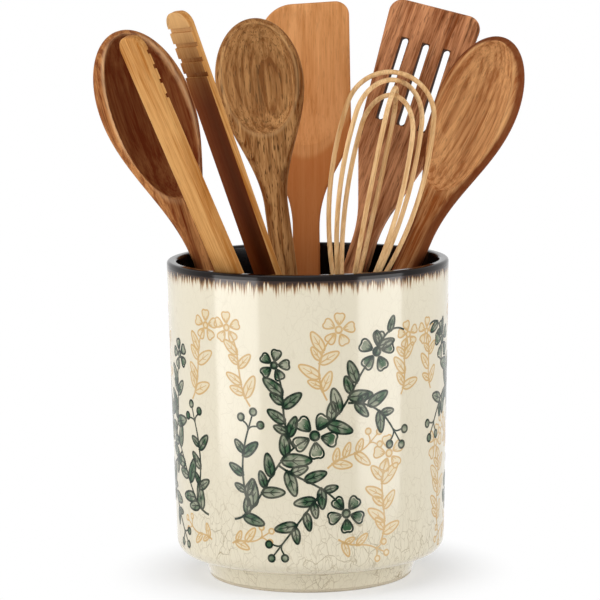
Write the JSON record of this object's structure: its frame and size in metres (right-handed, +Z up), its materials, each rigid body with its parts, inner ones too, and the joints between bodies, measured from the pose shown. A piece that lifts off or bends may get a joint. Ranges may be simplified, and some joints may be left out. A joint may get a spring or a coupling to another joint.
{
  "type": "utensil crock",
  "caption": "Glazed round stoneware crock on a foot ring, holding loose wooden cooking utensils: spoons, turners, sprung tongs and a whisk that each lift out.",
  "frame": {"origin": "centre of the foot ring, on the surface the crock stands on", "axes": "+Z up along the crock's axis; the front, which the spoon bowls face, is toward -Y"},
  "size_m": [0.2482, 0.1657, 0.324],
  "materials": {
    "stoneware": "dry fired clay, seen only on the foot",
    "cream_glaze": "glossy cream crackle glaze with a floral pattern",
    "dark_glaze": "glossy black-brown glaze",
    "acacia": "oiled, dark red-brown",
    "streaked_wood": "oiled, mid brown with dark streaks",
    "amber_wood": "oiled, warm orange-brown",
    "pear_wood": "smooth, light orange-brown",
    "red_wood": "oiled, red-brown with dark streaks",
    "bamboo": "smooth, honey-coloured",
    "beech": "smooth, pale tan"
  },
  "bodies": {
    "crock": {"stoneware_body": "stoneware", "crackle_glaze": "cream_glaze", "liner_glaze": "dark_glaze"},
    "left_spoon": {"left_spoon": "acacia"},
    "round_spoon": {"round_spoon": "streaked_wood"},
    "right_spoon": {"right_spoon": "amber_wood"},
    "solid_turner": {"solid_turner": "pear_wood"},
    "slotted_turner": {"slotted_turner": "red_wood"},
    "tongs": {"tongs_heel": "bamboo"},
    "tongs_left": {"tongs_left_arm": "bamboo"},
    "tongs_right": {"tongs_right_arm": "bamboo"},
    "whisk": {"whisk_handle": "beech", "whisk_loop_1": "beech", "whisk_loop_2": "beech", "whisk_loop_3": "beech", "whisk_loop_4": "beech"}
  },
  "joints": [
    {"name": "lift_left_spoon", "type": "slide", "parent": "crock", "child": "left_spoon", "axis": [-0.3464, 0.2326, 0.9088], "range_m": [0, 0.193]},
    {"name": "lift_round_spoon", "type": "slide", "parent": "crock", "child": "round_spoon", "axis": [-0.1206, 0.009, 0.9927], "range_m": [0, 0.177]},
    {"name": "lift_right_spoon", "type": "slide", "parent": "crock", "child": "right_spoon", "axis": [0.4029, 0.0402, 0.9144], "range_m": [0, 0.192]},
    {"name": "lift_solid_turner", "type": "slide", "parent": "crock", "child": "solid_turner", "axis": [0.0029, 0.0846, 0.9964], "range_m": [0, 0.176]},
    {"name": "lift_slotted_turner", "type": "slide", "parent": "crock", "child": "slotted_turner", "axis": [0.3152, 0.1305, 0.94], "range_m": [0, 0.187]},
    {"name": "lift_tongs", "type": "slide", "parent": "crock", "child": "tongs", "axis": [-0.3357, -0.148, 0.9303], "range_m": [0, 0.189]},
    {"name": "lift_whisk", "type": "slide", "parent": "crock", "child": "whisk", "axis": [0.2112, 0.0567, 0.9758], "range_m": [0, 0.18]},
    {"name": "tongs_left_flex", "type": "hinge", "parent": "tongs", "child": "tongs_left", "pos_m": [0.01414, -0.02264, 0.03446], "axis": [-0.601, 0.7941, -0.0905], "range_deg": [0, 2.2], "stiffness_Nm_per_rad": 20},
    {"name": "tongs_right_flex", "type": "hinge", "parent": "tongs", "child": "tongs_right", "pos_m": [0.02292, -0.0155, 0.03876], "axis": [0.601, -0.7941, 0.0905], "range_deg": [0, 2.2], "stiffness_Nm_per_rad": 20}
  ],
  "couplings": [
    {"joint": "tongs_right_flex", "follows": "tongs_left_flex", "ratio": 1}
  ]
}
